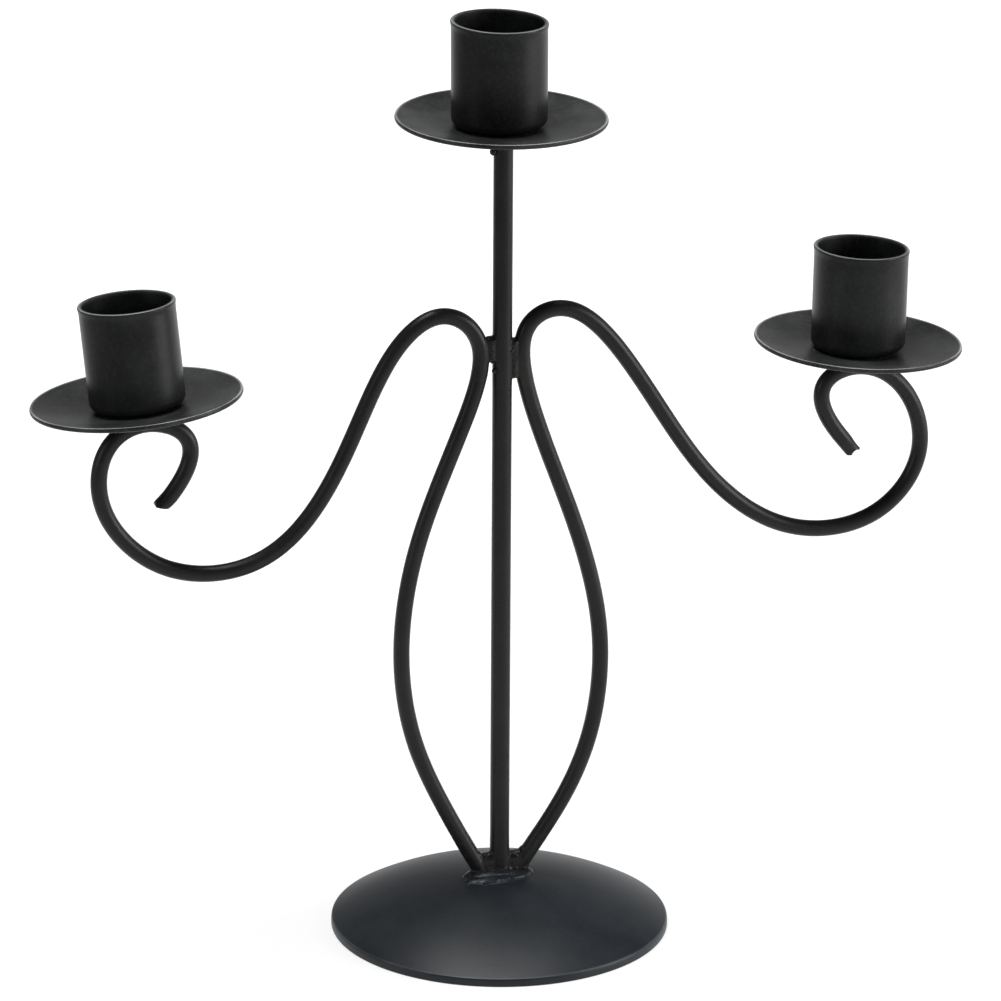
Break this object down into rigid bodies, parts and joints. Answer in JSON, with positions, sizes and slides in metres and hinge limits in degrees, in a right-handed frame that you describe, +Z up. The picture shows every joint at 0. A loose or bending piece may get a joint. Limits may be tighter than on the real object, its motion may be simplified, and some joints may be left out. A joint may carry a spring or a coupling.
{
  "type": "tabletop candelabra",
  "caption": "Tabletop candelabra: stem and scrolled bent-rod arms on a dome base, with drip pans and candle cups, in satin black coated steel.",
  "frame": {"origin": "on the table, under the stem and at the middle of the dome base", "axes": "+Z up along the stem, X through both arms with the right arm at +X, -Y towards the viewer's side"},
  "size_m": [0.2467, 0.0888, 0.2457],
  "materials": {
    "dome_coat": "satin black powder coat, slightly blue on the broad dome",
    "rod_coat": "satin black powder coat on round rod",
    "pan_coat": "matt black powder coat on pressed sheet",
    "cup_coat": "satin black powder coat on drawn sheet",
    "weld_coat": "satin black powder coat over weld metal, glossier on the beads"
  },
  "bodies": {
    "root": {"base_dome": "dome_coat", "stem": "rod_coat", "arm_left": "rod_coat", "arm_right": "rod_coat", "drip_pan_top": "pan_coat", "drip_pan_left": "pan_coat", "drip_pan_right": "pan_coat", "candle_cup_top": "cup_coat", "candle_cup_left": "cup_coat", "candle_cup_right": "cup_coat", "weld_base_skirt": "weld_coat", "weld_arm_left": "weld_coat", "weld_arm_right": "weld_coat", "weld_bead_low_left": "weld_coat", "weld_leg_left": "weld_coat", "weld_leg_right": "weld_coat", "weld_spatter_bead": "weld_coat", "weld_pan_top": "weld_coat", "weld_pan_left": "weld_coat", "weld_pan_right": "weld_coat", "weld_cup_top": "weld_coat", "weld_cup_left": "weld_coat", "weld_cup_right": "weld_coat"}
  },
  "joints": []
}
